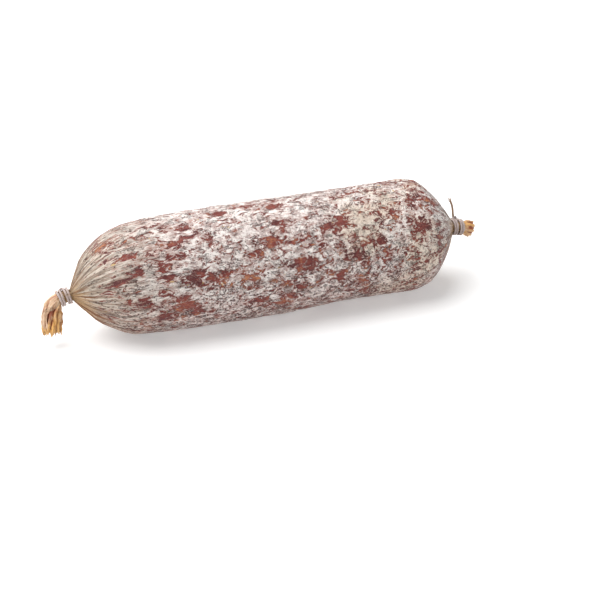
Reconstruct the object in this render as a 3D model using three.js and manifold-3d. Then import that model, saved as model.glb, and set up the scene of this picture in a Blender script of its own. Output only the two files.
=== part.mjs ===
// A dry-cured sausage lying on its side.
// One casing is filled with coarse meat, pinched at both ends and tied with thin twine.
// At the near end (-X) the gathered casing runs on past the tie and hangs down as a tail.
// At the far end (+X) the casing is clipped short, and one end of the twine stands up.
// Millimetres. +X runs along the sausage, +Z is up, and it rests on the plane z = 0.

import * as THREE from 'three';
import { mergeVertices } from 'three/addons/utils/BufferGeometryUtils.js';
import Module from 'manifold-3d';

// ---- Driving dimensions -------------------------------------------------------------------

const BODY_LENGTH = 207.5; // filled part, from the near tie to the far tie
const BODY_RADIUS = 30.1; // widest, near the middle
const SINK = 0.9; // how far the widest part is flattened by its own weight
const AXIS_HEIGHT = BODY_RADIUS - SINK;

const NECK_RADIUS = 3.0; // gathered casing under the twine
const TAIL_RADIUS = 5.2; // gathered casing beyond the near tie, where it fans out
const TAIL_LENGTH = 19; // from the near tie to the tail's open end
const FAR_END_LENGTH = 5.5; // clipped casing beyond the far tie

const TWINE_RADIUS = 0.6;
const TWINE_GAP = 0.3; // clearance between the twine and the casing
const WRAP_RADIUS = NECK_RADIUS + TWINE_GAP + TWINE_RADIUS;
const TIE_TURNS = 4; // two bands of two turns
const TURN_PITCH = 1.32; // turns of a band lie side by side
const BAND_GAP = 0.9; // extra step between the two bands
const TIE_LENGTH = TIE_TURNS * TURN_PITCH + BAND_GAP + 2 * TWINE_RADIUS;

const BODY_SIDES = 40;
const TWINE_SIDES = 8;
const STEPS_PER_TURN = 16;

// ---- Materials ----------------------------------------------------------------------------

const casingMaterial = new THREE.MeshStandardMaterial({
  name: 'mouldy_casing',
  color: new THREE.Color().setRGB(0.66, 0.56, 0.51, THREE.SRGBColorSpace),
  roughness: 0.85,
  metalness: 0,
});

const twineMaterial = new THREE.MeshStandardMaterial({
  name: 'twine',
  color: new THREE.Color().setRGB(0.74, 0.7, 0.68, THREE.SRGBColorSpace),
  roughness: 0.9,
  metalness: 0,
});

// ---- The sausage's centre line ------------------------------------------------------------

// The line is straight through the filled body, droops towards the near neck, and then turns
// down along the hanging tail. A station is a distance along this line from the near neck.
const centreLine = new THREE.CatmullRomCurve3([
  new THREE.Vector3(-12.2, -4.3, AXIS_HEIGHT - 23.4),
  new THREE.Vector3(-12, -3.4, AXIS_HEIGHT - 19),
  new THREE.Vector3(-11.3, -2.2, AXIS_HEIGHT - 13.2),
  new THREE.Vector3(-10.2, -1, AXIS_HEIGHT - 8.6),
  new THREE.Vector3(-8, -0.2, AXIS_HEIGHT - 5.4),
  new THREE.Vector3(-3.7, 0, AXIS_HEIGHT - 4.1),
  new THREE.Vector3(0, 0, AXIS_HEIGHT - 3.4),
  new THREE.Vector3(6, 0, AXIS_HEIGHT - 2.6),
  new THREE.Vector3(14, 0, AXIS_HEIGHT - 1.7),
  new THREE.Vector3(24, 0, AXIS_HEIGHT - 0.7),
  new THREE.Vector3(38, 0, AXIS_HEIGHT),
  new THREE.Vector3(BODY_LENGTH / 2, 0, AXIS_HEIGHT),
  new THREE.Vector3(BODY_LENGTH - 24, 0, AXIS_HEIGHT),
  new THREE.Vector3(BODY_LENGTH - 6, 0, AXIS_HEIGHT - 0.1),
  new THREE.Vector3(BODY_LENGTH, 0, AXIS_HEIGHT - 0.3),
  new THREE.Vector3(BODY_LENGTH + 7, 0, AXIS_HEIGHT - 1.6),
  new THREE.Vector3(BODY_LENGTH + 15, 0, AXIS_HEIGHT - 4.6),
]);
centreLine.arcLengthDivisions = 2000;
const lineLength = centreLine.getLength();

// Arc length from the tail's end of the centre line to the near neck.
const nearNeckAt = arcLengthWhere((point) => point.x >= 0);

function arcLengthWhere(isPast) {
  const samples = 4000;
  for (let i = 0; i <= samples; i += 1) {
    if (isPast(centreLine.getPointAt(i / samples))) {
      return (lineLength * i) / samples;
    }
  }
  return lineLength;
}

// Centre, sideways (-Y) and upward directions of the cross-section at a station.
function crossSection(station) {
  const at = THREE.MathUtils.clamp((nearNeckAt + station) / lineLength, 0, 1);
  const centre = centreLine.getPointAt(at);
  const along = centreLine.getTangentAt(at);
  const side = new THREE.Vector3(0, -1, 0).addScaledVector(along, along.y).normalize();
  const up = new THREE.Vector3().crossVectors(side, along);
  return { centre, side, up };
}

// A point of the cross-section; the angle runs from the top towards -Y.
function pointAround(station, radius, angle) {
  const { centre, side, up } = crossSection(station);
  return centre
    .addScaledVector(side, radius * Math.sin(angle))
    .addScaledVector(up, radius * Math.cos(angle));
}

// ---- The filled casing, with its necks, tail and clipped end -------------------------------

// Radius at each station, as [station, radius].
const outline = [
  [-TIE_LENGTH - TAIL_LENGTH + 1, TAIL_RADIUS * 0.86],
  [-TIE_LENGTH - TAIL_LENGTH * 0.8, TAIL_RADIUS],
  [-TIE_LENGTH - TAIL_LENGTH * 0.5, TAIL_RADIUS],
  [-TIE_LENGTH - TAIL_LENGTH * 0.2, TAIL_RADIUS * 0.84],
  [-TIE_LENGTH - 1, NECK_RADIUS + 0.8],
  [-TIE_LENGTH - 0.2, NECK_RADIUS],
  [-TIE_LENGTH / 2, NECK_RADIUS],
  [-0.1, NECK_RADIUS],
  [0.9, NECK_RADIUS + 1.7],
  [2.5, 7.2],
  [5, 10.8],
  [8, 15.2],
  [11, 18.2],
  [14.6, 21.1],
  [18, 23.6],
  [21.5, 25.6],
  [27, 27.5],
  [36, 28.5],
  [50, 29.5],
  [75, BODY_RADIUS - 0.15],
  [95, BODY_RADIUS],
  [120, BODY_RADIUS],
  [145, BODY_RADIUS - 0.4],
  [168, BODY_RADIUS - 0.6],
  [182, BODY_RADIUS - 0.3],
  [188, 28.3],
  [192.5, 24.5],
  [196, 20.6],
  [199.5, 16.4],
  [202.5, 12.1],
  [205, 8],
  [206.8, 4.6],
  [BODY_LENGTH + 0.1, NECK_RADIUS],
  [BODY_LENGTH + TIE_LENGTH / 2, NECK_RADIUS],
  [BODY_LENGTH + TIE_LENGTH + 0.2, NECK_RADIUS],
  [BODY_LENGTH + TIE_LENGTH + 1, NECK_RADIUS + 0.8],
  [BODY_LENGTH + TIE_LENGTH + FAR_END_LENGTH, NECK_RADIUS + 1.3],
];

const PLEATS = 8;

// Share of the radius that pleats and lumps add at a station and an angle.
function swelling(station, angle) {
  const pleatedTail = 0.1 * THREE.MathUtils.smoothstep(-station, TIE_LENGTH, TIE_LENGTH + 5);
  const pleatedNeck =
    0.045 *
    THREE.MathUtils.smoothstep(station, 1, 6) *
    (1 - THREE.MathUtils.smoothstep(station, 8, 26));
  const filled =
    THREE.MathUtils.smoothstep(station, 10, 50) *
    (1 - THREE.MathUtils.smoothstep(station, BODY_LENGTH - 40, BODY_LENGTH - 10));
  const lumps =
    0.006 * Math.sin(2 * angle + station / 21) + 0.005 * Math.sin(3 * angle - station / 13 + 1.2);
  return (pleatedTail + pleatedNeck) * Math.cos(PLEATS * angle) + filled * lumps;
}

// Stations where rings of vertices go: the outline's own, with more between widely spaced ones.
function ringStations() {
  const longestStep = 7.5;
  const stations = [];
  for (let i = 0; i + 1 < outline.length; i += 1) {
    const [start] = outline[i];
    const [end] = outline[i + 1];
    const steps = Math.max(1, Math.ceil((end - start) / longestStep));
    for (let k = 0; k < steps; k += 1) {
      stations.push(start + ((end - start) * k) / steps);
    }
  }
  stations.push(outline[outline.length - 1][0]);
  return stations;
}

// Smooth radius through the outline's points, with no overshoot between them.
function radiusAt(station) {
  const last = outline.length - 2;
  const found = outline.findIndex(([at]) => at > station) - 1;
  const i = found < 0 ? last : found;
  const slope = (k) => (outline[k + 1][1] - outline[k][1]) / (outline[k + 1][0] - outline[k][0]);
  const tangentAt = (k) => {
    if (k === 0 || k > last) {
      return 0;
    }
    const before = slope(k - 1);
    const after = slope(k);
    return before * after > 0 ? (2 * before * after) / (before + after) : 0;
  };
  const [start, startRadius] = outline[i];
  const [end, endRadius] = outline[i + 1];
  const span = end - start;
  const t = (station - start) / span;
  const rest = 1 - t;
  return (
    startRadius * (1 + 2 * t) * rest * rest +
    tangentAt(i) * span * t * rest * rest +
    endRadius * t * t * (3 - 2 * t) -
    tangentAt(i + 1) * span * t * t * rest
  );
}

function makeSausageBody() {
  const rings = ringStations();
  const first = rings[0];
  const last = rings[rings.length - 1];
  const profile = [new THREE.Vector2(0, first)];
  for (const station of rings) {
    profile.push(new THREE.Vector2(radiusAt(station), station));
  }
  profile.push(new THREE.Vector2(0, last));

  // The lathe spins about Y; each vertex is then carried to its place along the centre line.
  const geometry = new THREE.LatheGeometry(profile, BODY_SIDES);
  const position = geometry.attributes.position;
  for (let i = 0; i < position.count; i += 1) {
    const station = position.getY(i);
    const radius = Math.hypot(position.getX(i), position.getZ(i));
    const angle = Math.atan2(position.getX(i), position.getZ(i));
    const swollen = radius * (1 + swelling(station, angle));
    const place = pointAround(station, swollen, angle);
    // Its own weight presses the underside flat.
    position.setXYZ(i, place.x, place.y, Math.max(place.z, 0));
  }
  geometry.computeVertexNormals();
  const mesh = new THREE.Mesh(geometry, casingMaterial);
  mesh.name = 'sausage_body';
  return mesh;
}

// ---- Twine --------------------------------------------------------------------------------

const BACK = -Math.PI / 2; // the +Y side of the cross-section
const KNOT_RADIUS = 1.3;
const KNOT_HEIGHT = 1.0; // of its middle above the middle of the turns

// The turns of a tie: two bands round the neck, with a quick step between them at the back.
class TiePath extends THREE.Curve {
  constructor(startStation) {
    super();
    this.startStation = startStation;
  }

  getPoint(t, target = new THREE.Vector3()) {
    const turns = t * TIE_TURNS;
    const middle = TIE_TURNS / 2;
    const stepped = THREE.MathUtils.smoothstep(turns, middle - 0.2, middle + 0.2);
    const station =
      this.startStation + TWINE_RADIUS + TURN_PITCH * turns + BAND_GAP * stepped;
    return target.copy(pointAround(station, WRAP_RADIUS, BACK + 2 * Math.PI * turns));
  }
}

function makeStrand(path, steps) {
  const section = new THREE.Shape();
  section.absarc(0, 0, TWINE_RADIUS, 0, 2 * Math.PI, false);
  const corners = section.getSpacedPoints(TWINE_SIDES).slice(0, TWINE_SIDES);
  return new THREE.ExtrudeGeometry(new THREE.Shape(corners), {
    extrudePath: path,
    steps,
    bevelEnabled: false,
  });
}

// The middle of a knot that sits on the turns.
function knotCentre(station, angle) {
  return pointAround(station, WRAP_RADIUS + KNOT_HEIGHT, angle);
}

// A small overhand knot, lying flat against the turns.
function makeKnot(station, angle) {
  const knot = new THREE.TorusKnotGeometry(KNOT_RADIUS, TWINE_RADIUS, 36, TWINE_SIDES, 2, 3);
  const centre = knotCentre(station, angle);
  const outward = centre.clone().sub(crossSection(station).centre).normalize();
  knot.applyQuaternion(
    new THREE.Quaternion().setFromUnitVectors(new THREE.Vector3(0, 0, 1), outward),
  );
  knot.translate(centre.x, centre.y, centre.z);
  return knot;
}

const wasm = await Module();
wasm.setup();

function toSolid(geometry) {
  const bare = geometry.clone();
  bare.deleteAttribute('normal');
  bare.deleteAttribute('uv');
  const merged = mergeVertices(bare, 1e-4);
  const triVerts = merged.index
    ? Uint32Array.from(merged.index.array)
    : Uint32Array.from({ length: merged.attributes.position.count }, (_, i) => i);
  const vertProperties = Float32Array.from(merged.attributes.position.array);
  return new wasm.Manifold(new wasm.Mesh({ numProp: 3, vertProperties, triVerts }));
}

function joinStrands(geometries) {
  const joined = geometries.map(toSolid).reduce((whole, next) => whole.add(next));
  const { vertProperties, triVerts } = joined.getMesh();
  const geometry = new THREE.BufferGeometry();
  geometry.setAttribute('position', new THREE.BufferAttribute(vertProperties, 3));
  geometry.setIndex(new THREE.BufferAttribute(triVerts, 1));
  geometry.computeVertexNormals();
  return geometry;
}

// A tie that starts at a station, with its knot, and free ends given as offsets from the knot.
function makeTie({ name, startStation, knotAngle, freeEnds }) {
  const knotStation = startStation + TIE_LENGTH / 2;
  const centre = knotCentre(knotStation, knotAngle);
  const strands = [
    makeStrand(new TiePath(startStation), STEPS_PER_TURN * TIE_TURNS),
    makeKnot(knotStation, knotAngle),
  ];
  for (const offsets of freeEnds) {
    const route = offsets.map(([x, y, z]) => new THREE.Vector3(x, y, z).add(centre));
    const stepsPerSpan = 3;
    strands.push(
      makeStrand(new THREE.CatmullRomCurve3(route), stepsPerSpan * (route.length - 1)),
    );
  }
  const mesh = new THREE.Mesh(joinStrands(strands), twineMaterial);
  mesh.name = name;
  return mesh;
}

// Both ends of the near tie's twine are clipped short.
function makeNearTie() {
  return makeTie({
    name: 'near_twine_tie',
    startStation: -TIE_LENGTH,
    knotAngle: BACK,
    freeEnds: [
      [[0.5, 0.5, -0.8], [1.2, 1.4, -2.4], [1.4, 2.2, -4.2]],
      [[-0.6, 0.3, -1.0], [-1.2, 1.2, -2.6], [-1.8, 2.2, -3.8]],
    ],
  });
}

// One end of the far tie's twine stands up; the other is clipped short.
function makeFarTie() {
  return makeTie({
    name: 'far_twine_tie',
    startStation: BODY_LENGTH,
    knotAngle: BACK * 0.72,
    freeEnds: [
      [[-0.6, 0, 0.8], [-0.9, 0.2, 4.2], [-1.5, 0.3, 8.4], [-3.4, 0.4, 13.4]],
      [[0.6, 0.2, -1.0], [1.2, 1.2, -2.4], [1.6, 2.0, -4.4]],
    ],
  });
}

// ---- The whole sausage --------------------------------------------------------------------

const sausage = new THREE.Group();
sausage.add(makeSausageBody(), makeNearTie(), makeFarTie());

// The origin goes under the middle of the whole, on the plane it rests on.
const extent = new THREE.Box3().setFromObject(sausage);
const middle = extent.getCenter(new THREE.Vector3());
sausage.position.set(-middle.x, -middle.y, 0);
sausage.updateMatrixWorld(true);

export default sausage;
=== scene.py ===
import itertools
import math

import bpy
import numpy as np
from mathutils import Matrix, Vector
from mathutils.bvhtree import BVHTree


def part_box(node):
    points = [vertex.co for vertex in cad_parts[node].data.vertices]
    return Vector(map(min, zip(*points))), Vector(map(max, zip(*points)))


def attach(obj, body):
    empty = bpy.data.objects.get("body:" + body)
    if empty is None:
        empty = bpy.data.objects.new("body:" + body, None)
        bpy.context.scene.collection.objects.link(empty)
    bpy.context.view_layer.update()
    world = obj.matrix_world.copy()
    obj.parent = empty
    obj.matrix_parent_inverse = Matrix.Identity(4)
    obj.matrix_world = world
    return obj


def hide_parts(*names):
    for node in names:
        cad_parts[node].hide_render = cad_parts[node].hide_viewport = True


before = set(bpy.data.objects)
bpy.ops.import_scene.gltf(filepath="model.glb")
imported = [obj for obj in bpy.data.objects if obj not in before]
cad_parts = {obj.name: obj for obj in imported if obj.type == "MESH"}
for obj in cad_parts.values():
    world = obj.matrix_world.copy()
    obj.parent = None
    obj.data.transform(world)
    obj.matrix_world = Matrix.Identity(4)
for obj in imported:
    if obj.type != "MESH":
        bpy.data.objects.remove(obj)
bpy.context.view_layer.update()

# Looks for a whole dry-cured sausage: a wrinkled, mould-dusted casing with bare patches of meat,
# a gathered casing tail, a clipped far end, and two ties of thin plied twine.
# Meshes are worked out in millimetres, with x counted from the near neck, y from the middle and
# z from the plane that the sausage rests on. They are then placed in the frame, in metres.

MM = 0.001

# ---- Sizes and places -----------------------------------------------------------------------

BODY_LOW, BODY_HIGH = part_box("sausage_body")
TAIL_REACH = 17.65  # from the tail's furthest point to the near neck
ORIGIN = Vector((BODY_LOW.x + TAIL_REACH * MM, (BODY_LOW.y + BODY_HIGH.y) / 2, 0.0))

BODY_LENGTH = 207.5  # filled part, from the near tie to the far tie
AXIS_HEIGHT = 29.2
SKIN_RADIUS = 30.0  # the surface pattern is laid out on a cylinder of this radius
TAIL_RADIUS = 4.5  # where the tail fans out
TAIL_LENGTH = 18.4  # from the near tie to the tail's open end
FAR_END_LENGTH = 5.2  # clipped casing beyond the far tie
TUCK = 0.6  # how far the tail and the clipped end start inside their ties
CASING_THICKNESS = 0.28  # of the tail's single sheet

TWINE_RADIUS = 0.6
WRAP_RADIUS = 3.9  # from the centre line to the middle of the twine
TIE_TURNS = 4  # two bands of two turns
TURN_PITCH = 1.32
BAND_GAP = 0.9  # extra step between the two bands
TIE_LENGTH = TIE_TURNS * TURN_PITCH + BAND_GAP + 2 * TWINE_RADIUS
PLIES = 3
TWIST_PITCH = 3.2  # along the twine, for one turn of its plies
FRAYED_LENGTH = 2.6  # of a free end whose plies spread
FIBRE_RADII = np.array([0.03, 0.025, 0.01])  # of a loose fibre, from its root to its tip
BACK = -math.pi / 2  # the +Y side of a cross-section
FAR_KNOT_ANGLE = BACK * 0.72  # a little higher than the near knot
KNOT_RADIUS = 1.45
KNOT_HEIGHT = 1.0  # of its middle above the middle of the turns

# The centre line: straight through the body, dropping at the near neck into the hanging tail.
CENTRE_POINTS = [
    (-12.2, -4.3, AXIS_HEIGHT - 23.4),
    (-12.0, -3.4, AXIS_HEIGHT - 19.0),
    (-11.3, -2.2, AXIS_HEIGHT - 13.2),
    (-10.2, -1.0, AXIS_HEIGHT - 8.6),
    (-8.0, -0.2, AXIS_HEIGHT - 5.4),
    (-3.7, 0.0, AXIS_HEIGHT - 4.1),
    (0.0, 0.0, AXIS_HEIGHT - 3.4),
    (6.0, 0.0, AXIS_HEIGHT - 2.6),
    (14.0, 0.0, AXIS_HEIGHT - 1.7),
    (24.0, 0.0, AXIS_HEIGHT - 0.7),
    (38.0, 0.0, AXIS_HEIGHT),
    (BODY_LENGTH / 2, 0.0, AXIS_HEIGHT),
    (BODY_LENGTH - 24.0, 0.0, AXIS_HEIGHT),
    (BODY_LENGTH - 6.0, 0.0, AXIS_HEIGHT - 0.1),
    (BODY_LENGTH, 0.0, AXIS_HEIGHT - 0.3),
    (BODY_LENGTH + 7.0, 0.0, AXIS_HEIGHT - 1.6),
    (BODY_LENGTH + 15.0, 0.0, AXIS_HEIGHT - 4.6),
]

BODY_ROWS = 460  # rings of points along the body
BODY_COLUMNS = 216  # points in a ring
CAST_COLUMNS = 40  # the CAD solid's own number of sides
SMOOTH_HARMONICS = 10  # of the CAD solid's cross-section that are kept

# The larger bare patches on the side seen first:
# (station, angle from the top in degrees, half length, half width, turn in degrees, tone).
# Tone runs from 0, dark brick red, to 1, pale orange fat.
BARE_PATCHES = [
    (49, 99, 8.0, 5.0, -8, 0.62),
    (56, 107, 3.5, 3.0, 0, 0.45),
    (56, 69, 7.0, 2.4, 0, 0.15),
    (44, 66, 3.0, 1.8, 5, 0.15),
    (24, 59, 5.0, 1.7, 12, 0.1),
    (31, 54, 1.8, 2.8, 20, 0.05),
    (32, 86, 4.2, 2.6, 15, 0.0),
    (43, 53, 3.4, 2.4, -15, 0.3),
    (51, 47, 5.5, 1.5, 8, 0.1),
    (39, 38, 3.2, 1.7, 0, 0.2),
    (26, 37, 4.8, 1.2, 12, 0.35),
    (54, 29, 5.0, 1.8, 12, 0.5),
    (56, 18, 3.2, 1.8, 18, 0.4),
    (43, 4, 7.0, 1.4, 0, 0.45),
    (20, 7, 4.0, 2.4, 10, 0.85),
    (40, 110, 5.0, 2.6, 10, 0.1),
    (97, 51, 8.5, 2.8, 20, 0.6),
    (117, 48, 4.5, 1.6, 10, 0.5),
    (68, 75, 6.5, 3.2, -8, 0.55),
    (86, 80, 3.4, 3.8, 10, 0.9),
    (106, 28, 2.6, 2.8, -10, 0.4),
    (105, 4, 5.0, 2.8, 0, 0.45),
    (92, -6, 4.0, 2.2, 0, 0.5),
    (77, 4, 3.2, 1.8, 5, 0.5),
    (116, 75, 7.0, 3.4, -5, 0.3),
    (106, 89, 3.4, 1.8, -25, 0.6),
    (112, 96, 4.0, 1.4, -5, 0.1),
    (108, 109, 6.0, 3.6, 5, 0.6),
    (90, 106, 5.0, 2.6, -10, 0.35),
    (68, 36, 1.8, 2.4, 20, 0.2),
    (167, 34, 3.0, 2.6, 0, 0.65),
    (180, 53, 4.4, 4.0, -35, 0.0),
    (156, 62, 4.6, 2.3, 0, 0.2),
    (144, 71, 4.4, 2.3, 15, 0.15),
    (138, 38, 3.2, 2.8, 0, 0.5),
    (129, 40, 3.2, 1.9, 10, 0.35),
    (120, 75, 3.0, 2.6, 0, 0.4),
    (134, 92, 3.6, 2.6, 0, 0.6),
    (145, 97, 2.4, 2.8, 0, 0.55),
    (187, 28, 4.4, 2.2, 0, 0.85),
    (148, 1, 3.6, 1.6, 10, 0.6),
]
HIDDEN_PATCHES = 30  # more of them, placed at random over the back and the underside


# ---- Noise and curves -----------------------------------------------------------------------


def smoothstep(low, high, value):
    """A smooth rise from 0 to 1 as value goes from low to high."""
    t = np.clip((value - low) / (high - low), 0.0, 1.0)
    return t * t * (3 - 2 * t)


def gradient_noise(points, seed):
    """Smooth seeded noise in three dimensions, about -1 to 1, with features one unit across."""
    rng = np.random.default_rng(seed)
    order = rng.permutation(256)
    gradients = rng.normal(size=(256, 3))
    gradients /= np.linalg.norm(gradients, axis=1)[:, None]
    cell = np.floor(points).astype(int)
    within = points - cell
    fade = within**3 * (within * (within * 6 - 15) + 10)
    total = np.zeros(points.shape[:-1])
    for corner in itertools.product((0, 1), repeat=3):
        i, j, k = (cell[..., axis] + corner[axis] for axis in range(3))
        gradient = gradients[order[(order[(order[i % 256] + j) % 256] + k) % 256]]
        weight = np.ones_like(total)
        for axis in range(3):
            weight *= fade[..., axis] if corner[axis] else 1 - fade[..., axis]
        total += weight * ((within - corner) * gradient).sum(-1)
    return total * 1.6


def layered_noise(points, size, octaves, seed, falloff=0.55):
    """Noise summed over octaves; size is the largest feature's size in the points' own units."""
    total = np.zeros(points.shape[:-1])
    strength = 1.0
    for octave in range(octaves):
        shifted = points / size * 2**octave + 17.3 * octave
        total += strength * gradient_noise(shifted, seed + octave)
        strength *= falloff
    return total


def smooth_curve(points, samples_per_span=24):
    """A smooth curve through the points."""
    points = np.asarray(points, float)
    gaps = np.linalg.norm(np.diff(points, axis=0), axis=1)
    knots = np.concatenate([[0.0], np.cumsum(gaps)])
    slopes = np.gradient(points, knots, axis=0)
    fine = np.linspace(0, knots[-1], samples_per_span * (len(points) - 1) + 1)
    i = np.clip(np.searchsorted(knots, fine, side="right") - 1, 0, len(points) - 2)
    span = (knots[i + 1] - knots[i])[:, None]
    t = (fine - knots[i])[:, None] / span
    rest = 1 - t
    return (
        points[i] * (1 + 2 * t) * rest**2
        + slopes[i] * span * t * rest**2
        + points[i + 1] * t**2 * (3 - 2 * t)
        - slopes[i + 1] * span * t**2 * rest
    )


class CentreLine:
    """The sausage's centre line, with the cross-section at any station along it."""

    def __init__(self, points):
        self.points = smooth_curve(points, samples_per_span=60)
        steps = np.linalg.norm(np.diff(self.points, axis=0), axis=1)
        travelled = np.concatenate([[0.0], np.cumsum(steps)])
        near_neck = np.interp(0.0, self.points[:, 0], travelled)
        self.stations = travelled - near_neck
        self.tangents = np.gradient(self.points, travelled, axis=0)

    def section(self, station):
        """The centre and the sideways (-Y) and upward directions at each station."""
        station = np.asarray(station, float)
        centre, along = (
            np.stack([np.interp(station, self.stations, line[:, axis]) for axis in range(3)], -1)
            for line in (self.points, self.tangents)
        )
        along /= np.linalg.norm(along, axis=-1, keepdims=True)
        side = np.array([0.0, -1.0, 0.0]) + along * along[..., 1:2]
        side /= np.linalg.norm(side, axis=-1, keepdims=True)
        return centre, side, np.cross(side, along)

    def around(self, station, radius, angle):
        """Points at a radius and at an angle, counted from the top towards -Y."""
        centre, side, up = self.section(station)
        radius = np.asarray(radius)[..., None]
        angle = np.asarray(angle)[..., None]
        return centre + side * radius * np.sin(angle) + up * radius * np.cos(angle)


CENTRE = CentreLine(CENTRE_POINTS)


# ---- Meshes ---------------------------------------------------------------------------------


def to_frame(points):
    """Points in millimetres moved to their place in the frame, in metres."""
    return np.asarray(points) * MM + np.array(ORIGIN)


def make_mesh(name, points, faces):
    """A smooth-shaded object from points in millimetres."""
    mesh = bpy.data.meshes.new(name)
    mesh.from_pydata(to_frame(points).tolist(), [], faces)
    mesh.polygons.foreach_set("use_smooth", np.ones(len(mesh.polygons), bool))
    mesh.validate()
    mesh.update()
    piece = bpy.data.objects.new(name, mesh)
    bpy.context.scene.collection.objects.link(piece)
    return piece


def grid_faces(rows, columns, start=0):
    """Quads of a tube whose rows are rings of points."""
    index = start + np.arange(rows * columns).reshape(rows, columns)
    beside = np.roll(index, -1, axis=1)
    return np.stack([index[:-1], beside[:-1], beside[1:], index[1:]], -1).reshape(-1, 4)


def tube_faces(rows, columns, start=0):
    """A tube's quads and its two flat ends."""
    first = list(range(start, start + columns))
    last = [start + (rows - 1) * columns + k for k in range(columns)]
    return grid_faces(rows, columns, start).tolist() + [first[::-1], last]


def add_wrapped_uvs(piece, uvs):
    """UVs of a tube, where the last column's faces run on past the seam."""
    mesh = piece.data
    columns = uvs.shape[1]
    corner_points = np.zeros(len(mesh.loops), int)
    mesh.loops.foreach_get("vertex_index", corner_points)
    coordinates = uvs.reshape(-1, 2)[corner_points]
    starts = np.zeros(len(mesh.polygons), int)
    sizes = np.zeros(len(mesh.polygons), int)
    mesh.polygons.foreach_get("loop_start", starts)
    mesh.polygons.foreach_get("loop_total", sizes)
    quads = starts[sizes == 4]
    corners = quads[:, None] + np.arange(4)
    reaches_last = (corner_points[corners] % columns == columns - 1).any(1)
    by_seam = corners[reaches_last]
    wrapped = by_seam[corner_points[by_seam] % columns == 0]
    coordinates[wrapped, 1] = 1.0
    layer = mesh.uv_layers.new(name="OFBake")
    layer.data.foreach_set("uv", coordinates.astype(np.float32).ravel())


def store(piece, name, values):
    """A point attribute that the material reads."""
    values = np.asarray(values, np.float32)
    if values.ndim == 1:
        piece.data.attributes.new(name, "FLOAT", "POINT").data.foreach_set("value", values)
    else:
        layer = piece.data.attributes.new(name, "FLOAT_VECTOR", "POINT")
        layer.data.foreach_set("vector", values.ravel())


# ---- The filled body ------------------------------------------------------------------------


def cad_radius(stations):
    """Distance from the centre line to the CAD solid, for each station and CAD side."""
    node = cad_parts["sausage_body"].data
    corners = [vertex.co.copy() for vertex in node.vertices]
    tree = BVHTree.FromPolygons(corners, [list(face.vertices) for face in node.polygons])
    centre, side, up = CENTRE.section(stations)
    angles = np.arange(CAST_COLUMNS) * 2 * math.pi / CAST_COLUMNS
    reach = np.zeros((len(stations), CAST_COLUMNS))
    for i, start in enumerate(to_frame(centre)):
        for k, angle in enumerate(angles):
            heading = Vector(side[i] * math.sin(angle) + up[i] * math.cos(angle))
            reach[i, k] = tree.ray_cast(Vector(start), heading)[3] / MM
    return reach


def even_stations(rows):
    """Stations whose rings are evenly spaced over the body's surface, and their shares of it."""
    samples = 320
    overrun = 0.2  # of the body past each tie
    coarse = np.linspace(-TIE_LENGTH - overrun, BODY_LENGTH + TIE_LENGTH + overrun, samples)
    radius = cad_radius(coarse).mean(1)
    steps = np.hypot(np.diff(coarse), np.diff(radius))
    travelled = np.concatenate([[0.0], np.cumsum(steps)])
    even = np.linspace(0, travelled[-1], rows)
    return np.interp(even, travelled, coarse), even / travelled[-1]


def pattern_length(station):
    """Station as the pattern sees it: stretched near the tail, close to true at the far end."""
    return np.interp(station, [-10, 0, 60, 130, 225], [-5, 0, 35, 90, 180])


def hidden_patches():
    """Random bare patches for the sides that are seen last, in the form of BARE_PATCHES."""
    rng = np.random.default_rng(12)
    low = (16, 128, 3.0, 1.5, -20, 0.0)
    high = (192, 345, 8.0, 4.0, 20, 0.8)
    return [tuple(rng.uniform(low, high)) for _ in range(HIDDEN_PATCHES)]


def bare_level(station, angle, skin):
    """How bare the casing is, where above 0.5 the mould is gone, and the bare meat's tone."""
    bends = [layered_noise(skin, 5, octaves=3, seed=seed, falloff=0.7) for seed in (21, 24, 27)]
    bent = skin + 2.2 * np.stack(bends, -1)
    level = 0.1 + 0.12 * layered_noise(bent, 17, octaves=2, seed=31)
    level += 0.14 * layered_noise(bent, 6, octaves=3, seed=35, falloff=0.8)
    level += 0.21 * smoothstep(50, 150, station)
    dusted_top = smoothstep(0.1, 0.8, np.cos(angle + 0.35)) * (1 - smoothstep(90, 190, station))
    level -= 0.1 * dusted_top
    usual_tone = 0.42
    tone = usual_tone + 0.65 * layered_noise(skin, 6, octaves=3, seed=41)
    ragged = 0.75 * layered_noise(bent, 6, octaves=4, seed=45, falloff=0.75)
    shift = 0.45 * (bent - skin)
    for at, degrees, half_length, half_width, turn, patch_tone in BARE_PATCHES + hidden_patches():
        along = station - at + shift[..., 0]
        across = (angle - math.radians(degrees) + math.pi) % (2 * math.pi) - math.pi
        across = across * SKIN_RADIUS + shift[..., 1]
        turned = math.radians(turn)
        u = (along * math.cos(turned) - across * math.sin(turned)) / half_length
        v = (along * math.sin(turned) + across * math.cos(turned)) / half_width
        inside = 1 - np.hypot(u, v) + ragged
        level = np.maximum(level, 0.47 + 0.26 * np.clip(inside, -1.0, 0.9))
        share = 0.7 * smoothstep(-0.5, 0.2, inside)
        tone = tone * (1 - share) + (patch_tone + 0.4 * (tone - usual_tone)) * share
    away_from_necks = smoothstep(4, 17, station) * (1 - smoothstep(196, 205, station))
    return level * away_from_necks, tone


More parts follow.
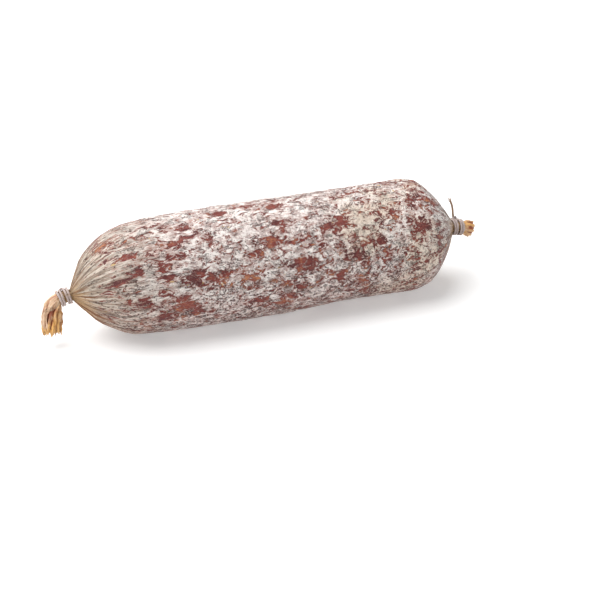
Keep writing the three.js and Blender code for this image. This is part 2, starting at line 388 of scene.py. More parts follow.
def body_relief(station, skin, bare):
    """Height added to the body's surface: lumps, furrows, grain, sunken bare patches and pleats."""
    filled = smoothstep(6, 40, station) * (1 - smoothstep(182, 204, station))
    near = smoothstep(-1, 4, station) * (1 - smoothstep(12, 50, station))
    far = smoothstep(182, 197, station) * (1 - smoothstep(206, 208, station))
    lumps = 0.42 * layered_noise(skin, 30, octaves=2, seed=1)
    lumps += 0.3 * layered_noise(skin, 10, octaves=2, seed=5)
    grooves = skin * np.array([0.25, 1.0, 1.0])
    furrow = np.abs(layered_noise(grooves, 5.5, octaves=2, seed=17))
    furrows = -0.4 * (1 - smoothstep(0.0, 0.2, furrow)) * smoothstep(-0.2, 0.3, lumps)
    grain = 0.13 * layered_noise(skin, 3.2, octaves=2, seed=51, falloff=0.7)
    sunken = -0.12 * smoothstep(0.42, 0.56, bare)
    meridian = skin * np.array([0.1, 1.0, 1.0])
    broad = 0.45 * layered_noise(meridian, 13, octaves=2, seed=9, falloff=0.6)
    folds = 0.7 * (0.3 - np.abs(layered_noise(meridian, 7.5, octaves=1, seed=13)))
    fine = 0.16 * layered_noise(meridian, 2.3, octaves=1, seed=15)
    pleats = (broad + folds + fine) * np.maximum(near, far)
    return filled * (lumps + furrows + grain + sunken) + pleats


def make_body():
    """The filled body and its necks: the CAD solid, smoothed, with its relief added."""
    stations, share = even_stations(BODY_ROWS)
    cast = cad_radius(stations)
    spectrum = np.fft.rfft(cast, axis=1)[:, :SMOOTH_HARMONICS]
    radius = np.fft.irfft(spectrum, n=BODY_COLUMNS, axis=1) * BODY_COLUMNS / CAST_COLUMNS
    angles = np.arange(BODY_COLUMNS) * 2 * math.pi / BODY_COLUMNS
    station = np.repeat(stations[:, None], BODY_COLUMNS, axis=1)
    angle = np.repeat(angles[None, :], BODY_ROWS, axis=0)
    around = [SKIN_RADIUS * np.cos(angle), SKIN_RADIUS * np.sin(angle)]
    skin = np.stack([pattern_length(station), *around], -1)
    bare, tone = bare_level(station, angle, skin)
    points = CENTRE.around(station, radius + body_relief(station, skin, bare), angle)
    points[..., 2] = np.maximum(points[..., 2], 0.0)
    uvs = np.stack([np.repeat(share[:, None], BODY_COLUMNS, 1), angle / (2 * math.pi)], -1)
    faces = tube_faces(BODY_ROWS, BODY_COLUMNS)
    piece = make_mesh("casing_and_meat", points.reshape(-1, 3), faces)
    add_wrapped_uvs(piece, uvs)
    store(piece, "skin", skin.reshape(-1, 3))
    for name, values in (("station", station), ("bare", bare), ("tone", tone)):
        store(piece, name, values.ravel())
    piece.data.materials.append(mouldy_casing_material())
    return piece


# ---- The gathered casing beyond the ties ----------------------------------------------------


def make_tail():
    """The gathered tail: one sheet, open along a slant in front, part smooth lobe, part pleats.

    The sheet's points run from the lobe's edge round the back to the pleated edge, and then on
    inside, as the inner layer that shows through the opening.
    """
    rows, columns = 60, 260
    along = np.linspace(0, 1, rows)[:, None]
    across = np.linspace(0, 1, columns)[None, :]
    opening = smoothstep(0.12, 0.5, along) * (1 - 0.7 * smoothstep(0.6, 0.95, along))
    front = 112 - 34 * (along - 0.35)  # where the edges meet, in degrees from the top
    lobe_edge = np.radians(360 + front - 58 * opening)
    pleated_edge = np.radians(front - 4 * opening)
    share_outside = 0.72
    outside = np.clip(across / share_outside, 0, 1)
    inside = np.clip((across - share_outside) / (1 - share_outside), 0, 1)
    angle = lobe_edge + (pleated_edge - lobe_edge) * outside - math.radians(190) * inside
    fan = np.interp(along, [0, 0.06, 0.2, 0.5, 0.8, 1], [0.6, 0.66, 0.84, 1.0, 0.98, 0.9])
    radius = TAIL_RADIUS * fan * np.ones_like(across)
    hollow = smoothstep(0.0, 0.3, along) * (1 - 0.75 * smoothstep(0.55, 0.85, along))
    radius *= 1 - 0.25 * smoothstep(0.0, 0.35, inside) * hollow
    radius *= 1 + 0.03 * np.exp(-(((outside - 0.12) / 0.12) ** 2)) * opening
    pleated = smoothstep(0.12, 0.4, outside) * (1 - 0.4 * smoothstep(0, 0.4, inside))
    ring = np.stack(np.broadcast_arrays(3 * along, 2.4 * np.cos(angle), 2.4 * np.sin(angle)), -1)
    wander = layered_noise(ring, 1.5, octaves=2, seed=61)
    folds = np.cos(10 * angle + 2.6 * wander + 3.0 * along)
    # Painted shade for the material: darkest in the pleat valleys.
    fold_shade = np.clip(0.5 - 0.5 * folds, 0, 1) * (0.25 + 0.75 * pleated)
    height = (0.16 + 0.5 * smoothstep(0.0, 0.5, along)) * (0.34 + 0.66 * pleated)
    crumple = 0.45 * layered_noise(ring, 0.6, octaves=3, seed=66, falloff=0.7)
    radius = radius + height * folds + crumple * smoothstep(0.05, 0.3, along)
    edge = ring * [0, 1, 1]
    frayed = 0.06 * layered_noise(edge, 0.6, octaves=3, seed=71, falloff=0.8)
    frayed += 0.14 * np.abs(layered_noise(edge, 0.2, octaves=1, seed=74)) - 0.03
    shorter = 0.1 * smoothstep(0.14, 0.0, outside) * opening
    length = TAIL_LENGTH * (0.97 + frayed - shorter) - 1.2 * smoothstep(0, 0.3, inside)
    station = -TIE_LENGTH + TUCK - (length + TUCK) * along
    points = CENTRE.around(station, radius, angle)
    index = np.arange(rows * columns).reshape(rows, columns)
    faces = np.stack([index[:-1, :-1], index[1:, :-1], index[1:, 1:], index[:-1, 1:]], -1)
    piece = make_mesh("casing_tail", points.reshape(-1, 3), faces.reshape(-1, 4).tolist())
    sheet = np.stack(np.broadcast_arrays(station, angle * 4, radius), -1)
    store(piece, "sheet", sheet.reshape(-1, 3))
    # The inner layer gets painted shade too, most where the sheet is hollow.
    fold_shade = np.maximum(fold_shade, smoothstep(0, 0.2, inside) * (0.05 + 0.95 * hollow))
    store(piece, "fold_shade", fold_shade.ravel())
    store(piece, "gold", (pleated * (0.4 + 0.6 * along) + smoothstep(0.7, 1.0, along)).ravel())
    thicken(piece, CASING_THICKNESS)
    return piece


def make_far_end():
    """The casing clipped close to the far tie, gathered into blunt pleats."""
    rows, columns = 34, 160
    rim = 0.72  # share of the rows before the end rounds over
    along = np.linspace(0, 1, rows)[:, None]
    angle = np.linspace(0, 2 * math.pi, columns, endpoint=False)[None, :]
    ring = np.stack(np.broadcast_arrays(2 * along, 2.4 * np.cos(angle), 2.4 * np.sin(angle)), -1)
    wander = layered_noise(ring, 1.6, octaves=2, seed=81)
    folds = np.cos(9 * angle + 2.0 * wander)
    over_rim = smoothstep(rim, 1.0, along)
    fan = np.interp(along, [0, 0.12, 0.4, rim], [3.0, 3.3, 4.0, 4.3])
    radius = (fan + 0.4 * folds * smoothstep(0, 0.4, along)) * (1 - 0.82 * over_rim)
    frayed = 0.5 * layered_noise(ring * [0, 1, 1], 0.5, octaves=2, seed=85)
    reach = (FAR_END_LENGTH + frayed) * np.clip(along / rim, 0, 1) - 1.9 * over_rim
    station = BODY_LENGTH + TIE_LENGTH - TUCK + reach + np.zeros_like(angle)
    points = CENTRE.around(station, radius, np.broadcast_to(angle, radius.shape))
    piece = make_mesh("clipped_end", points.reshape(-1, 3), tube_faces(rows, columns))
    sheet = np.stack(np.broadcast_arrays(station, angle * 4, radius), -1)
    store(piece, "sheet", sheet.reshape(-1, 3))
    # Painted shade in the pleat valleys and over the rounded-over end.
    fold_shade = np.clip(0.45 - 0.5 * folds, 0, 1) * smoothstep(0.1, 0.4, along) + 0.5 * over_rim
    store(piece, "fold_shade", fold_shade.ravel())
    store(piece, "gold", np.repeat(0.6, rows * columns))
    return piece


def thicken(piece, thickness):
    """Give a sheet its thickness, towards its inner side."""
    solid = piece.modifiers.new("thickness", "SOLIDIFY")
    solid.thickness = thickness * MM
    solid.offset = -1.0


# ---- Twine ----------------------------------------------------------------------------------


def resample(points, step):
    """The same path with evenly spaced points, and how far along it each one is."""
    points = np.asarray(points, float)
    travelled = np.concatenate([[0], np.cumsum(np.linalg.norm(np.diff(points, axis=0), axis=1))])
    even = np.linspace(0, travelled[-1], max(4, round(travelled[-1] / step)))
    return np.stack([np.interp(even, travelled, points[:, axis]) for axis in range(3)], -1), even


def carried_frame(points):
    """Two directions across a path, carried along it without twisting."""
    tangents = np.gradient(points, axis=0)
    tangents /= np.linalg.norm(tangents, axis=1)[:, None]
    first = np.zeros_like(points)
    across = np.cross(tangents[0], [0.3, 0.5, 0.8])
    for i, tangent in enumerate(tangents):
        across = across - tangent * np.dot(across, tangent)
        across /= np.linalg.norm(across)
        first[i] = across
    return first, np.cross(tangents, first)


class MeshParts:
    """Collects tubes that become one object."""

    def __init__(self):
        self.points = []
        self.faces = []
        self.values = {"ply": [], "place": [], "stain": []}
        self.count = 0

    def add_tube(self, path, radius, sides, offset, stain):
        """A tube along a path, with a radius for each of its points."""
        first, second = carried_frame(path)
        angles = np.arange(sides) * 2 * math.pi / sides
        ring = first[:, None] * np.cos(angles)[:, None] + second[:, None] * np.sin(angles)[:, None]
        points = path[:, None] + ring * radius[:, None, None]
        rows = len(path)
        self.faces += tube_faces(rows, sides, self.count)
        self.points.append(points.reshape(-1, 3))
        travelled = np.linspace(0, 1, rows)[:, None] * rows * 0.2 + offset
        around = [0.3 * np.cos(angles), 0.3 * np.sin(angles)]
        ply = np.stack(np.broadcast_arrays(travelled, *around), -1)
        self.values["ply"].append(ply.reshape(-1, 3))
        self.values["place"].append(points.reshape(-1, 3))
        self.values["stain"].append(np.full(rows * sides, stain))
        self.count += rows * sides

    def add_twine(self, path, seed, stain, frayed=False):
        """Twisted twine along a path; if it is frayed, its plies spread at the end."""
        path, travelled = resample(path, step=0.22)
        first, second = carried_frame(path)
        total = travelled[-1]
        spread = smoothstep(total - FRAYED_LENGTH, total, travelled) * frayed
        ply_radius = TWINE_RADIUS * 0.56 * (1 - 0.5 * spread)
        lay = TWINE_RADIUS * 0.46 + 0.45 * spread
        wobble = 0.03 * layered_noise(path, 1.5, octaves=1, seed=seed)
        for ply in range(PLIES):
            turn = 2 * math.pi * (travelled / TWIST_PITCH + ply / PLIES) * (1 - 0.1 * spread)
            heading = first * np.cos(turn)[:, None] + second * np.sin(turn)[:, None]
            line = path + heading * (lay + wobble)[:, None]
            self.add_tube(line, ply_radius, sides=8, offset=9.0 * ply + seed, stain=stain)
        self.add_fuzz(path, first, second, seed, stain)

    def add_fuzz(self, path, first, second, seed, stain):
        """Loose fibres that stand off the twine."""
        rng = np.random.default_rng(seed)
        for _ in range(round(len(path) * 0.2)):
            at = rng.integers(2, len(path) - 3)
            turn = rng.uniform(0, 2 * math.pi)
            out = first[at] * math.cos(turn) + second[at] * math.sin(turn)
            along = (path[at + 1] - path[at - 1]) * rng.choice([-2.0, 2.0])
            root = path[at] + out * TWINE_RADIUS * 0.8
            reach = rng.uniform(0.35, 0.9)
            tip = root + out * reach * rng.uniform(0.4, 1.0) + along * reach
            middle = (root + tip) / 2 + out * 0.15
            fibre = np.stack([root, middle, tip])
            self.add_tube(fibre, FIBRE_RADII, sides=3, offset=at, stain=stain)

    def build(self, name, material):
        """Everything collected so far, as one object."""
        piece = make_mesh(name, np.concatenate(self.points), self.faces)
        for value_name, values in self.values.items():
            store(piece, value_name, np.concatenate(values))
        piece.data.materials.append(material)
        return piece


def tie_turns(start_station):
    """The turns of a tie: two bands round the neck, with a quick step between them."""
    turns = np.linspace(0, TIE_TURNS, 400)
    middle = TIE_TURNS / 2
    stepped = smoothstep(middle - 0.2, middle + 0.2, turns)
    station = start_station + TWINE_RADIUS + TURN_PITCH * turns + BAND_GAP * stepped
    return CENTRE.around(station, np.full_like(turns, WRAP_RADIUS), BACK + 2 * math.pi * turns)


def knot_path(centre, outward):
    """An overhand knot round a point, lying flat against the turns."""
    u = np.linspace(0, 4 * math.pi, 160)
    swing = 2 + np.cos(1.5 * u)
    flat = np.stack([swing * np.cos(u), swing * np.sin(u), np.sin(1.5 * u)], -1)
    turned = Vector((0, 0, 1)).rotation_difference(Vector(outward)).to_matrix()
    return centre + KNOT_RADIUS / 2 * flat @ np.array(turned).T


def make_tie(name, start_station, knot_angle, free_ends, seed, material):
    """A tie with its knot and two free ends, given as offsets from the knot's middle and stains."""
    knot_station = start_station + TIE_LENGTH / 2
    middle = CENTRE.section(knot_station)[0]
    centre = CENTRE.around(knot_station, WRAP_RADIUS + KNOT_HEIGHT, knot_angle)
    parts = MeshParts()
    parts.add_twine(tie_turns(start_station), seed, stain=0.12)
    parts.add_twine(knot_path(centre, centre - middle), seed + 1, stain=0.1)
    for i, (offsets, stain) in enumerate(free_ends):
        route = smooth_curve(centre + np.array(offsets))
        parts.add_twine(route, seed + 2 + i, stain, frayed=True)
    return parts.build(name, material)


NEAR_FREE_ENDS = [
    ([(0.5, 0.5, -0.8), (1.2, 1.4, -2.4), (1.4, 2.2, -4.2)], 0.2),
    ([(-0.6, 0.3, -1.0), (-1.2, 1.2, -2.6), (-1.8, 2.2, -3.8)], 0.2),
]
FAR_FREE_ENDS = [
    ([(-0.6, 0.0, 0.8), (-0.9, 0.2, 4.2), (-1.5, 0.3, 8.4), (-3.4, 0.4, 13.4)], 0.9),
    ([(0.6, 0.2, -1.0), (1.2, 1.2, -2.4), (1.6, 2.0, -4.4)], 0.4),
]


# ---- Materials ------------------------------------------------------------------------------


class Shader:
    """A Principled material and short ways to add the nodes that feed it."""

    def __init__(self, name):
        self.material = bpy.data.materials.new(name)
        self.material.use_nodes = True
        self.tree = self.material.node_tree
        self.surface = self.tree.nodes["Principled BSDF"]

    def link(self, value, socket):
        """Feed a socket with a number, a colour or another node's output."""
        if isinstance(value, (int, float)):
            socket.default_value = value
        elif isinstance(value, tuple):
            socket.default_value = (*value, 1.0)
        else:
            self.tree.links.new(value, socket)

    def attribute(self, name, vector=False):
        """What the mesh stores at its points under a name."""
        node = self.tree.nodes.new("ShaderNodeAttribute")
        node.attribute_name = name
        return node.outputs["Vector" if vector else "Fac"]

    def math(self, operation, first, second=0.0):
        """The result of a math operation on one or two values."""
        node = self.tree.nodes.new("ShaderNodeMath")
        node.operation = operation
        self.link(first, node.inputs[0])
        self.link(second, node.inputs[1])
        return node.outputs[0]

    def drawn_out(self, vector, share):
        """The vector with its first part times a share, so that a noise is drawn out lengthwise."""
        node = self.tree.nodes.new("ShaderNodeVectorMath")
        node.operation = "MULTIPLY"
        self.link(vector, node.inputs[0])
        node.inputs[1].default_value = (share, 1.0, 1.0)
        return node.outputs[0]

    def moved(self, vector, distance):
        """The same place read from another part of a noise."""
        node = self.tree.nodes.new("ShaderNodeVectorMath")
        self.link(vector, node.inputs[0])
        node.inputs[1].default_value = (distance, distance, distance)
        return node.outputs[0]

    def part(self, vector, axis):
        """One part of a vector: X, Y or Z."""
        node = self.tree.nodes.new("ShaderNodeSeparateXYZ")
        self.link(vector, node.inputs[0])
        return node.outputs[axis]

    def centred(self, value, strength=1.0):
        """A noise value moved to lie about zero, times a strength."""
        return self.math("MULTIPLY", self.math("SUBTRACT", value, 0.5), strength)

    def noise(self, vector, size, detail=2.0, roughness=0.55, distortion=0.0):
        """Noise between 0 and 1, with features of about the given size in the vector's units."""
        node = self.tree.nodes.new("ShaderNodeTexNoise")
        self.link(vector, node.inputs["Vector"])
        node.inputs["Scale"].default_value = 1.0 / size
        node.inputs["Detail"].default_value = detail
        node.inputs["Roughness"].default_value = roughness
        node.inputs["Distortion"].default_value = distortion
        return node.outputs["Fac"]

    def step(self, value, low, high, start=0.0, end=1.0):
        """A smooth rise from start to end as value goes from low to high."""
        node = self.tree.nodes.new("ShaderNodeMapRange")
        node.interpolation_type = "SMOOTHSTEP"
        self.link(value, node.inputs["Value"])
        node.inputs["From Min"].default_value = low
        node.inputs["From Max"].default_value = high
        node.inputs["To Min"].default_value = start
        node.inputs["To Max"].default_value = end
        return node.outputs["Result"]

    def mix(self, factor, first, second):
        """The first colour at factor 0, the second at 1."""
        node = self.tree.nodes.new("ShaderNodeMix")
        node.data_type = "RGBA"
        self.link(factor, node.inputs["Factor"])
        self.link(first, node.inputs[6])
        self.link(second, node.inputs[7])
        return node.outputs[2]

    def bump(self, height, distance):
        """The surface's direction where a height of 1 stands the given distance out, in metres."""
        node = self.tree.nodes.new("ShaderNodeBump")
        self.link(height, node.inputs["Height"])
        node.inputs["Distance"].default_value = distance
        return node.outputs["Normal"]

    def finish(self, base_colour, roughness, normal=None):
        """Feed the surface and return the material."""
        self.link(base_colour, self.surface.inputs["Base Color"])
        self.link(roughness, self.surface.inputs["Roughness"])
        if normal is not None:
            self.link(normal, self.surface.inputs["Normal"])
        return self.material


def colour(red, green, blue):
    """A colour given as it looks on screen, 0 to 255, as the linear light that nodes use."""
    screen = np.array([red, green, blue]) / 255
    linear = np.where(screen <= 0.04045, screen / 12.92, ((screen + 0.055) / 1.055) ** 2.4)
    return tuple(float(channel) for channel in linear)


MOULD_WHITE = colour(244, 236, 231)
MOULD_GREY = colour(187, 165, 159)
MOULD_CREAM = colour(228, 210, 186)
# Thin mould's pinker colour, also used as painted shade on the low side.
MOULD_THIN_AND_LOW_SHADE = colour(176, 122, 108)
MOULD_TAN = colour(130, 110, 90)
MOULD_STRAW = colour(194, 180, 162)
# Dark grain, also used for painted wrinkle shadows.
GRAIN_AND_WRINKLE_SHADOW = colour(76, 42, 36)
MEAT_DARK = colour(82, 22, 23)
MEAT_RED = colour(132, 54, 41)
MEAT_FAT = colour(188, 120, 80)
NECK_CASING = colour(214, 172, 120)
# Dark fold lines: painted shade in the gathered casing by the necks.
NECK_FOLD_SHADE = colour(136, 90, 60)
YEAST = colour(206, 170, 96)


def mould_colour(shader, skin, station, thinness):
    """Mould: white to grey, cream in places, tan by the near neck, pinker where thin, and pinker
    and darker low down as painted shade.
    """
    cloud = shader.noise(skin, 4.0, detail=5.0, roughness=0.85)
    colours = shader.mix(shader.step(cloud, 0.41, 0.57), MOULD_GREY, MOULD_WHITE)
    creaminess = shader.noise(shader.moved(skin, 40.0), 26.0, roughness=0.6)
    farther = shader.step(station, 100.0, 160.0, start=-0.14, end=0.1)
    creaminess = shader.math("ADD", creaminess, farther)
    colours = shader.mix(shader.step(creaminess, 0.5, 0.75, end=0.55), colours, MOULD_CREAM)
    streaks = shader.noise(shader.drawn_out(skin, 0.12), 1.5, roughness=0.8)
    tanned = shader.math("ADD", station, shader.centred(streaks, 50.0))
    streaked = shader.mix(shader.step(streaks, 0.38, 0.6), MOULD_TAN, MOULD_STRAW)
    colours = shader.mix(shader.step(tanned, 2.0, 62.0, start=0.9, end=0.0), colours, streaked)
    # Painted shade: low down, the mould is mixed towards the thin mould's darker, pinker colour.
    height = shader.math("MULTIPLY", shader.part(skin, "Y"), 1 / SKIN_RADIUS)
    colours = shader.mix(shader.step(height, 0.25, -0.7, end=0.2), colours, MOULD_THIN_AND_LOW_SHADE)
    colours = shader.mix(thinness, colours, MOULD_THIN_AND_LOW_SHADE)
    spots = shader.noise(shader.moved(skin, 80.0), 2.6, detail=1.0)
    return shader.mix(shader.step(spots, 0.74, 0.78, end=0.7), colours, YEAST)


def grain_and_shadow_level(shader, skin):
    """Dark grain in the mould, denser low down: pits, dashes of painted wrinkle shadow and thin
    wandering cracks.
    """
    clusters = shader.noise(shader.moved(skin, 20.0), 8.0, detail=3.0, roughness=0.7)
    lower = shader.step(shader.part(skin, "Y"), 32.0, -20.0, start=-0.045, end=0.035)
    crowding = shader.math("ADD", shader.centred(clusters, 0.42), lower)

    pits = shader.noise(skin, 1.1, detail=1.0, roughness=0.6)
    pits = shader.step(shader.math("ADD", pits, crowding), 0.61, 0.66)

    # Painted shade: short dark dashes stand for the shadows of fine wrinkles.
    longer = shader.drawn_out(skin, 0.7)
    wrinkle_shadows = shader.noise(longer, 2.2, detail=3.0, roughness=0.8, distortion=1.5)
    wrinkle_shadows = shader.step(shader.math("ADD", wrinkle_shadows, crowding), 0.63, 0.67)

    longer = shader.drawn_out(skin, 0.6)
    wander = shader.noise(longer, 5.0, detail=4.0, roughness=0.8, distortion=1.0)
    beside = shader.math("ABSOLUTE", shader.centred(wander))
    cracks = shader.step(beside, 0.006, 0.03, start=1.0, end=0.0)
    broken = shader.noise(shader.moved(skin, 60.0), 5.0, roughness=0.7)
    cracks = shader.math("MULTIPLY", cracks, shader.step(broken, 0.46, 0.58))
    return shader.math("MAXIMUM", shader.math("MAXIMUM", pits, wrinkle_shadows), cracks)


def meat_colour(shader, skin, bare, tone):
    """Meat under bare casing: brick red to orange fat, darkest along the mould's edge, partly
    painted shade under the crust's edge.
    """
    streaks = shader.noise(shader.drawn_out(skin, 0.6), 2.4, detail=4.0, roughness=0.85)
    shade = shader.math("ADD", tone, shader.centred(streaks, 2.2))
    colours = shader.mix(shader.step(shade, 0.0, 0.5), MEAT_DARK, MEAT_RED)
    colours = shader.mix(shader.step(shade, 0.5, 1.05), colours, MEAT_FAT)
    # Darker along the mould's edge: partly the meat's darker rim, partly painted shade under the
    # crust's edge.
    return shader.mix(shader.step(bare, 0.5, 0.64, start=0.75, end=0.0), colours, MEAT_DARK)


def mouldy_casing_material():
    """Powdery mould over bare meat, with golden casing at the necks."""
    shader = Shader("mouldy_casing")
    skin = shader.attribute("skin", vector=True)
    station = shader.attribute("station")

    # Where the mould is gone: the mesh gives the patches and noise gives their ragged edges.
    longer = shader.drawn_out(skin, 0.78)
    edges = shader.noise(longer, 3.0, detail=3.0, roughness=0.8, distortion=0.8)
    bare = shader.math("ADD", shader.attribute("bare"), shader.centred(edges, 2.6))
    bald = shader.step(bare, 0.465, 0.515)
    thinness = shader.step(bare, 0.24, 0.5, end=0.75)

    grain = grain_and_shadow_level(shader, skin)
    mould = mould_colour(shader, skin, station, thinness)
    # The grain and the painted wrinkle shadows darken the mould.
    mould = shader.mix(shader.math("MULTIPLY", grain, 0.88), mould, GRAIN_AND_WRINKLE_SHADOW)
    meat = meat_colour(shader, skin, bare, shader.attribute("tone"))
    dust = shader.noise(shader.moved(skin, 30.0), 1.3, detail=3.0, roughness=0.8)
    dustless = shader.step(dust, 0.48, 0.7, start=1.0, end=0.65)
    surface = shader.mix(shader.math("MULTIPLY", bald, dustless), mould, meat)

    # Golden casing close to each neck, with dark streaks of painted shade in its folds, thinning
    # out into the mould, and reaching further on the underside.
    folds = shader.noise(shader.drawn_out(skin, 0.14), 5.0, detail=4.0, roughness=0.8)
    from_neck = shader.math("MINIMUM", station, shader.math("SUBTRACT", BODY_LENGTH, station))
    reach = shader.math("ADD", from_neck, shader.centred(folds, 44.0))
    reach = shader.math("ADD", reach, shader.math("MULTIPLY", shader.part(skin, "Y"), 0.13))
    # Painted shade: dark streaks stand for the shade in the casing's folds.
    golden = shader.mix(shader.step(folds, 0.42, 0.52), NECK_FOLD_SHADE, NECK_CASING)
    surface = shader.mix(shader.step(reach, 0.0, 12.0, start=0.95, end=0.0), surface, golden)

    roughness = shader.step(bald, 0.0, 1.0, start=0.92, end=0.55)
    crust = shader.math("SUBTRACT", 1.0, shader.math("MAXIMUM", bald, grain))
    powder = shader.noise(skin, 1.2, detail=4.0, roughness=0.8)
    height = shader.math("ADD", crust, shader.centred(powder, 2.0))
    return shader.finish(surface, roughness, shader.bump(height, 0.0005))


TAIL_PALE = colour(216, 188, 158)
TAIL_TAN = colour(190, 150, 116)
TAIL_GOLD = colour(222, 168, 88)
# Brown for painted shade in the tail's folds and creases, partly the casing's darker inside.
TAIL_BROWN_AND_SHADE = colour(140, 72, 46)


def tail_casing_material():
    """Dry gathered casing: thin, golden and streaked along its folds, with painted shade in its
    folds, creases and hollows.
    """
    shader = Shader("tail_casing")
    sheet = shader.attribute("sheet", vector=True)
    fibres = shader.noise(shader.drawn_out(sheet, 0.16), 0.7, detail=3.0, roughness=0.7)
    blotches = shader.noise(sheet, 4.0, roughness=0.6)
    lit = shader.mix(shader.step(fibres, 0.36, 0.64), TAIL_TAN, TAIL_PALE)
    golden = shader.math("ADD", shader.attribute("gold"), shader.centred(blotches, 1.5))
    lit = shader.mix(shader.step(golden, 0.2, 0.9, end=0.85), lit, TAIL_GOLD)
    # Painted shade: darker brown in the pleat valleys and on the inner layer, where it is partly
    # the casing's own darker inside.
    shade_level = shader.math("ADD", shader.attribute("fold_shade"), shader.centred(blotches, 1.2))
    surface = shader.mix(shader.step(shade_level, 0.25, 1.0), lit, TAIL_BROWN_AND_SHADE)
    # Painted shade: dark brown lines stand for the shade in fine creases.
    creases = shader.noise(shader.drawn_out(sheet, 0.1), 1.1, roughness=0.7)
    surface = shader.mix(shader.step(creases, 0.53, 0.66, end=0.65), surface, TAIL_BROWN_AND_SHADE)
    normal = shader.bump(shader.math("ADD", fibres, creases), 0.00025)
    return shader.finish(surface, 0.42, normal)


TWINE_PALE = colour(206, 194, 192)
TWINE_SHADE = colour(150, 132, 128)
TWINE_STAIN = colour(168, 134, 104)


def twine_material():
    """Cotton twine: fibres run along each ply, with stains from the casing."""
    shader = Shader("twine")
    ply = shader.attribute("ply", vector=True)
    place = shader.attribute("place", vector=True)
    fibres = shader.noise(shader.drawn_out(ply, 0.3), 0.14, detail=3.0, roughness=0.7)
    surface = shader.mix(shader.step(fibres, 0.32, 0.6), TWINE_SHADE, TWINE_PALE)
    stains = shader.noise(place, 3.0, detail=3.0, roughness=0.7)
    surface = shader.mix(shader.step(stains, 0.52, 0.72, end=0.7), surface, TWINE_STAIN)
    surface = shader.mix(shader.attribute("stain"), surface, TWINE_STAIN)
    normal = shader.bump(fibres, 0.00012)
    return shader.finish(surface, 0.85, normal)


# ---- Floor, light and camera ----------------------------------------------------------------

# Metres and degrees.
CAMERA_AZIMUTH = -19.03
CAMERA_ELEVATION = 30.0
CAMERA_LENS = 100.0
CAMERA_DISTANCE = 0.8864
AIM = Vector((0.01975, -0.0004, 0.0))

FLOOR_REACH = 4.0  # half its width
FLOOR_COLOUR = (0.74, 0.74, 0.74)
NEAR_GLOW, FAR_GLOW = 0.35, 0.8
GLOW_RISES_FROM, GLOW_RISES_TO = 0.6, 1.4  # distances from the middle

HORIZON_LIGHT, SKY_LIGHT = 1.0, 0.32
SKY_FALLS_FROM, SKY_FALLS_TO = 0.13, 0.2  # heights on a sphere of radius 1

LAMP_PLACE = Vector((-0.5, 0.3, 1.1))
LAMP_SIZE = 1.7
LAMP_POWER = 32.5


def make_camera():
    """A long lens that looks down at the sausage from in front and a little to the left."""
    camera = bpy.data.objects.new("camera", bpy.data.cameras.new("camera"))
    bpy.context.scene.collection.objects.link(camera)
    turn, lift = math.radians(CAMERA_AZIMUTH), math.radians(CAMERA_ELEVATION)
    back = Vector(
        (math.sin(turn) * math.cos(lift), -math.cos(turn) * math.cos(lift), math.sin(lift))
    )
    camera.location = AIM + back * CAMERA_DISTANCE
    camera.rotation_mode = "QUATERNION"
    camera.rotation_quaternion = (-back).to_track_quat("-Z", "Y")
    camera.data.lens = CAMERA_LENS
    camera.data.sensor_width = 36.0
    camera.data.clip_start = 0.01
    bpy.context.scene.camera = camera


def make_floor():
    """A pale floor that glows: the glow is painted light that pales the shadows near the sausage,
    and it rises with distance so that the floor has no visible edge.
    """
    left, right = -FLOOR_REACH, FLOOR_REACH
    corners = [(left, left, 0), (right, left, 0), (right, right, 0), (left, right, 0)]
    mesh = bpy.data.meshes.new("floor")
    mesh.from_pydata(corners, [], [(0, 1, 2, 3)])
    floor = bpy.data.objects.new("floor", mesh)
    bpy.context.scene.collection.objects.link(floor)
    shader = Shader("floor")
    shader.surface.inputs["Emission Color"].default_value = (1.0, 1.0, 1.0, 1.0)
    place = shader.tree.nodes.new("ShaderNodeTexCoord").outputs["Object"]
    distance = shader.tree.nodes.new("ShaderNodeVectorMath")
    distance.operation = "LENGTH"
    shader.link(place, distance.inputs[0])
    distance = distance.outputs["Value"]
    # Painted light: the floor's glow lifts its shadows, and hides its edge further out.
    glow = shader.step(distance, GLOW_RISES_FROM, GLOW_RISES_TO, NEAR_GLOW, FAR_GLOW)
    shader.link(glow, shader.surface.inputs["Emission Strength"])
    mesh.materials.append(shader.finish(FLOOR_COLOUR, 0.9))


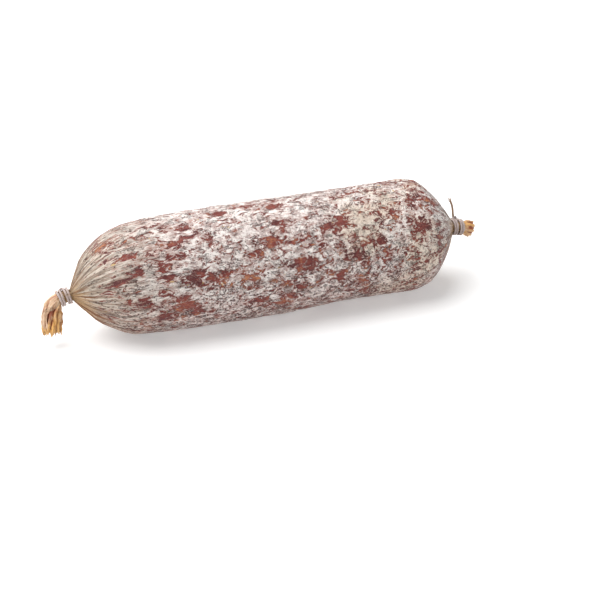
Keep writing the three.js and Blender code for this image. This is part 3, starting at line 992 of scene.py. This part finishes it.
def make_world():
    """A pale studio, brightest near the horizon."""
    world = bpy.data.worlds.new("studio")
    world.use_nodes = True
    nodes, links = world.node_tree.nodes, world.node_tree.links
    direction = nodes.new("ShaderNodeTexCoord")
    height = nodes.new("ShaderNodeSeparateXYZ")
    links.new(direction.outputs["Generated"], height.inputs[0])
    fall = nodes.new("ShaderNodeMapRange")
    fall.interpolation_type = "SMOOTHSTEP"
    links.new(height.outputs["Z"], fall.inputs["Value"])
    fall.inputs["From Min"].default_value = SKY_FALLS_FROM
    fall.inputs["From Max"].default_value = SKY_FALLS_TO
    fall.inputs["To Min"].default_value = HORIZON_LIGHT
    fall.inputs["To Max"].default_value = SKY_LIGHT
    links.new(fall.outputs["Result"], nodes["Background"].inputs["Strength"])
    nodes["Background"].inputs["Color"].default_value = (1.0, 1.0, 1.0, 1.0)
    bpy.context.scene.world = world


def make_lamp():
    """One large soft light overhead."""
    light = bpy.data.lights.new("overhead_softbox", "AREA")
    light.shape = "DISK"
    light.size = LAMP_SIZE
    light.energy = LAMP_POWER
    lamp = bpy.data.objects.new("overhead_softbox", light)
    bpy.context.scene.collection.objects.link(lamp)
    lamp.location = LAMP_PLACE
    lamp.rotation_mode = "QUATERNION"
    lamp.rotation_quaternion = (-LAMP_PLACE).to_track_quat("-Z", "Y")


def set_picture():
    """Colours as they are, with no film look."""
    view = bpy.context.scene.view_settings
    view.view_transform = "Standard"
    view.look = "None"
    view.exposure = 0.0


# ---- Making the scene -----------------------------------------------------------------------

make_camera()

body = make_body()
tail_finish = tail_casing_material()
tail = make_tail()
tail.data.materials.append(tail_finish)
far_end = make_far_end()
far_end.data.materials.append(tail_finish)
twine_finish = twine_material()
near_tie = make_tie("near_tie", -TIE_LENGTH, BACK, NEAR_FREE_ENDS, 100, twine_finish)
far_tie = make_tie("far_tie", BODY_LENGTH, FAR_KNOT_ANGLE, FAR_FREE_ENDS, 200, twine_finish)

for piece, node, slot in (
    (body, "sausage_body", "mouldy_casing"),
    (tail, "sausage_body", "tail_casing"),
    (far_end, "sausage_body", "tail_casing"),
    (near_tie, "near_twine_tie", "twine"),
    (far_tie, "far_twine_tie", "twine"),
):
    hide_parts(node)
    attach(piece, "root")

make_floor()
make_world()
make_lamp()
set_picture()
